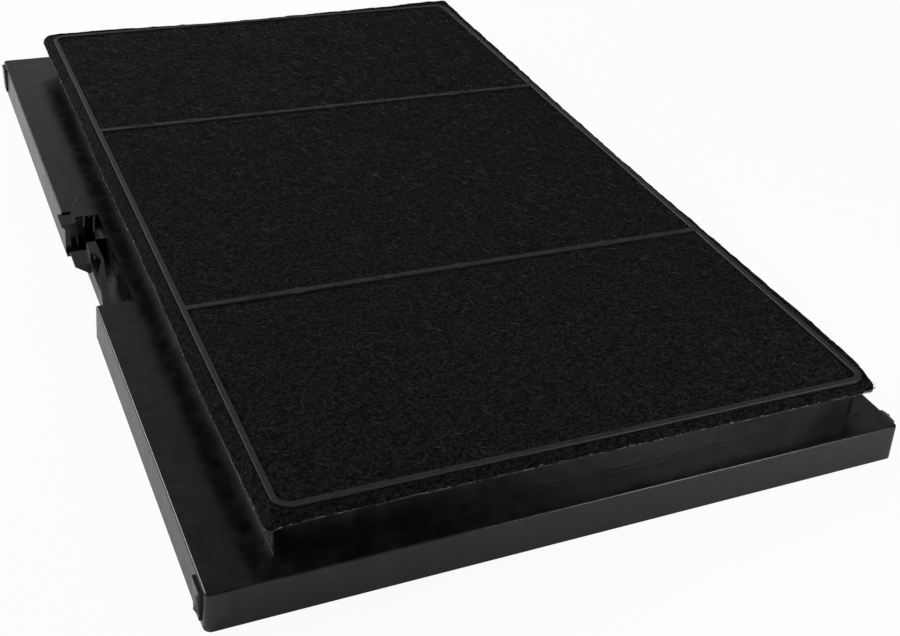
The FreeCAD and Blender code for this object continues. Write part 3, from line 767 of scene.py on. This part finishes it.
def needled_carbon_felt():
    """Needled carbon-loaded fibre felt: dull, almost black, matted in every direction, with
    lighter strands that catch the light."""
    material, tree = new_material("needled_carbon_felt")
    place = object_place(tree)
    matted = None
    # strands 5 mm long and 0.9 mm wide, coarser than single fibres so that they show
    for number, degrees in enumerate((12, 58, 97, 146)):
        strand_place = add(tree, "ShaderNodeMapping",
                           {"Vector": place, "Location": (0.013 * number, 0.007 * number, 0),
                            "Rotation": (0, 0, math.radians(degrees)),
                            "Scale": (0.0052, 0.0009, 0.0009)}, vector_type="TEXTURE")
        strand = add(tree, "ShaderNodeTexNoise", {"Vector": strand_place.outputs[0], "Scale": 1.0,
                                                  "Detail": 1.0}).outputs["Fac"]
        matted = strand if matted is None else join(tree, matted, strand, "MAXIMUM")
    mix = join(tree, matted, noise(tree, place, (0.0016,) * 3, 4.0, 0.62), "MULTIPLY")
    colour = tint(tree, spread(tree, mix, 0.25, 0.42), "#050505", "#262624")
    surface(tree, {"Base Color": colour, "Roughness": 0.9, "IOR": 1.35,
                   "Specular IOR Level": 0.15, "Normal": relief(tree, mix, 0.0022)})
    return material


def loose_fibre(name, dark, light):
    """Single viscose fibres, slightly shiny, in shades that change every 4 mm or so."""
    material, tree = new_material(name)
    shade = noise(tree, object_place(tree), (0.004,) * 3, 2.0)
    colour = tint(tree, spread(tree, shade, 0.35, 0.68), dark, light)
    surface(tree, {"Base Color": colour, "Roughness": 0.55, "IOR": 1.45,
                   "Specular IOR Level": 0.25})
    return material


def satin_polypropylene():
    """Thin polypropylene grid, satin and slightly greyed, dusted with fibre."""
    material, tree = new_material("satin_polypropylene")
    place = object_place(tree)
    dust = noise(tree, place, (0.0025,) * 3, 4.0, 0.65)
    colour = tint(tree, spread(tree, dust, 0.3, 0.7), "#0b0b0a", "#20201e")
    grain = noise(tree, place, (0.0012,) * 3, 2.0)
    surface(tree, {"Base Color": colour, "Roughness": 0.45, "IOR": 1.49,
                   "Normal": relief(tree, grain, 0.00008)})
    return material


def dress(piece, material):
    """Gives a piece one material in every slot."""
    if not piece.material_slots:
        piece.data.materials.append(material)
    for place in piece.material_slots:
        place.material = material


tray_plastic = moulded_black_plastic("moulded_black_abs", "#040404", "#161615", 0.25)
latch_plastic = moulded_black_plastic("moulded_black_latch", "#080808", "#121211", 0.28)
# The torn slivers are real plastic. Their pale grey tone is partly the torn plastic's own colour
# and partly a painted glint that stands in for the highlights on their edges.
torn_plastic_and_glint = moulded_black_plastic("torn_abs_and_painted_glint", "#2a2a28", "#a2a29c", 0.45)
grid_plastic = satin_polypropylene()
felt_cloth = needled_carbon_felt()
dark_fibre = loose_fibre("black_viscose_fibre", "#0b0b0b", "#20201f")
pale_fibre = loose_fibre("pale_viscose_fibre", "#2a2a28", "#66665f")
skin_cloth = loose_fibre("pressed_felt_skin", "#1c1c1b", "#5a5a55")
frayed_skin = loose_fibre("frayed_felt_skin", "#3a3a37", "#a0a098")

dress(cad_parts["tray"], tray_plastic)
dress(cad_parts["release_latch"], latch_plastic)
dress(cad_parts["mat_grid"], grid_plastic)
dress(grid, grid_plastic)
dress(burrs, torn_plastic_and_glint)
dress(felt, felt_cloth)
dress(skin_edge, skin_cloth)
for piece in dark_fibres:
    dress(piece, dark_fibre)
for piece in pale_fibres:
    dress(piece, pale_fibre)
dress(edge_fuzz, dark_fibre)
dress(edge_frays, frayed_skin)

for piece in [felt, skin_edge, edge_fuzz, edge_frays, *dark_fibres, *pale_fibres]:
    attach(piece, "filter")
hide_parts("carbon_mat")
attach(burrs, "filter")
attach(grid, "filter")
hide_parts("mat_grid")


# Floor, world and lamps, in metres

FLOOR_HALF = 4.0
FLOOR_GAP = 0.0002
WHITE_TO_CAMERA = 0.93
WHITE_IN_MIRRORS = 0.05


def make_floor():
    """A plain pale floor; to the camera it is nearly all white, with a trace of the shadow."""
    mesh = bpy.data.meshes.new("floor")
    corners = [(-FLOOR_HALF, -FLOOR_HALF, 0), (FLOOR_HALF, -FLOOR_HALF, 0),
               (FLOOR_HALF, FLOOR_HALF, 0), (-FLOOR_HALF, FLOOR_HALF, 0)]
    mesh.from_pydata(corners, [], [(0, 1, 2, 3)])
    floor = bpy.data.objects.new("floor", mesh)
    floor.location.z = tray_low[2] * MM - FLOOR_GAP
    bpy.context.scene.collection.objects.link(floor)
    material, tree = new_material("pale_floor_paper")
    rays = add(tree, "ShaderNodeLightPath").outputs
    mirrored = join(tree, rays["Is Glossy Ray"], rays["Is Transmission Ray"], "ADD")
    shown = join(tree, rays["Is Camera Ray"], WHITE_TO_CAMERA, "MULTIPLY")
    share = add(tree, "ShaderNodeMath", {0: mirrored, 1: WHITE_IN_MIRRORS, 2: shown},
                operation="MULTIPLY_ADD")
    paper = add(tree, "ShaderNodeBsdfDiffuse", {"Color": linear("#f2f2f0")})
    white = add(tree, "ShaderNodeEmission", {"Color": (1, 1, 1, 1), "Strength": 1.0})
    both = add(tree, "ShaderNodeMixShader", {0: share.outputs[0], 1: paper.outputs[0],
                                             2: white.outputs[0]})
    add(tree, "ShaderNodeOutputMaterial", {"Surface": both.outputs[0]})
    mesh.materials.append(material)


SOFT_LIGHT = 0.42
GLOW_HEIGHTS = (0.25, 0.75)
GLOW_LOW = 0.36
GLOW_HIGH = 0.13


def background(tree, strength):
    shader = add(tree, "ShaderNodeBackground", {"Color": (1, 1, 1, 1), "Strength": strength})
    return shader.outputs[0]


def make_world():
    """Soft light from all round: white to the camera and through glass, dimmer in gloss."""
    world = bpy.data.worlds.new("studio")
    bpy.context.scene.world = world
    world.use_nodes = True
    tree = world.node_tree
    tree.nodes.clear()
    rays = add(tree, "ShaderNodeLightPath").outputs
    direct = join(tree, rays["Is Camera Ray"], rays["Is Transmission Ray"], "ADD")
    soft = background(tree, SOFT_LIGHT)
    # the studio is bright low down and darker overhead, which only shows in gloss
    place = add(tree, "ShaderNodeTexCoord").outputs["Generated"]
    height = add(tree, "ShaderNodeSeparateXYZ", {"Vector": place}).outputs["Z"]
    gloss = background(tree, spread(tree, height, *GLOW_HEIGHTS, GLOW_LOW, GLOW_HIGH))
    white = background(tree, 1.0)
    dimmer = add(tree, "ShaderNodeMixShader", {0: rays["Is Glossy Ray"], 1: soft, 2: gloss})
    both = add(tree, "ShaderNodeMixShader", {0: direct, 1: dimmer.outputs[0], 2: white})
    add(tree, "ShaderNodeOutputWorld", {"Surface": both.outputs[0]})


def area_lamp(name, place, target, size, watts, spread_degrees=180):
    """A square lamp that faces its target."""
    data = bpy.data.lights.new(name, "AREA")
    data.shape = "SQUARE"
    data.size = size
    data.energy = watts
    data.spread = math.radians(spread_degrees)
    lamp = bpy.data.objects.new(name, data)
    lamp.location = place
    lamp.rotation_euler = (Vector(target) - Vector(place)).to_track_quat("-Z", "Y").to_euler()
    bpy.context.scene.collection.objects.link(lamp)


make_floor()
make_world()
area_lamp("softbox_behind", (-0.95, 1.15, 1.0), (0, 0, 0), size=0.9, watts=21.0)
area_lamp("fill_front", (0.36, -0.66, 0.32), (0.17, -0.29, 0), size=0.2, watts=0.3,
          spread_degrees=70)


# Camera, fitted to the photograph's edges

CAMERA_PLACE = (-0.2133, -0.5369, 0.3328)
RIGHT = Vector((0.91508, -0.39714, 0.07007))
DOWN = Vector((-0.16478, -0.52680, -0.83386))
FORWARD = Vector((0.36807, 0.75151, -0.54751))

camera_data = bpy.data.cameras.new("camera")
camera_data.sensor_width = 36.0
camera_data.lens = 52.77
camera_data.clip_start = 0.01
camera_data.clip_end = 100.0
camera = bpy.data.objects.new("camera", camera_data)
turned = Matrix((RIGHT, -DOWN, -FORWARD)).transposed().to_4x4()
camera.matrix_world = Matrix.Translation(CAMERA_PLACE) @ turned
bpy.context.scene.collection.objects.link(camera)
bpy.context.scene.camera = camera
bpy.context.scene.view_settings.view_transform = "Standard"
